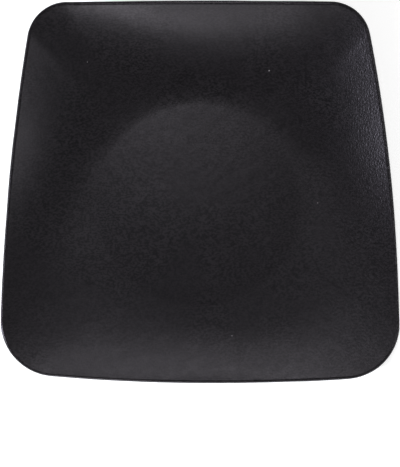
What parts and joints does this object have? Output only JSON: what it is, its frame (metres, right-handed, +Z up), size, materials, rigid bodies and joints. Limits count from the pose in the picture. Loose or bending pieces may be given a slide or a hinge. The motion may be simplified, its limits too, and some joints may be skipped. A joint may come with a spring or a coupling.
{
  "type": "dinner plate",
  "caption": "Four-sided coupe dinner plate in matte black glazed stoneware: round well, rim climbing towards the narrow end, low round foot.",
  "frame": {"origin": "on the table, under the middle of the plate's outline", "axes": "+X across the wide end, from the plate's left side to its right as seen from above; +Y towards the narrow, raised end; +Z up out of the well"},
  "size_m": [0.2702, 0.2569, 0.0379],
  "materials": {
    "fired_clay": "fine, slightly rough fired stoneware",
    "bare_foot": "bare, smoothed stoneware",
    "black_glaze": "matte black with a fine leathery texture",
    "taupe_glaze": "satin grey-taupe with a faint speckle"
  },
  "bodies": {
    "root": {"stoneware_body": "fired_clay", "foot_ring": "bare_foot", "top_glaze": "black_glaze", "underside_glaze": "taupe_glaze", "base_glaze": "taupe_glaze"}
  },
  "joints": []
}
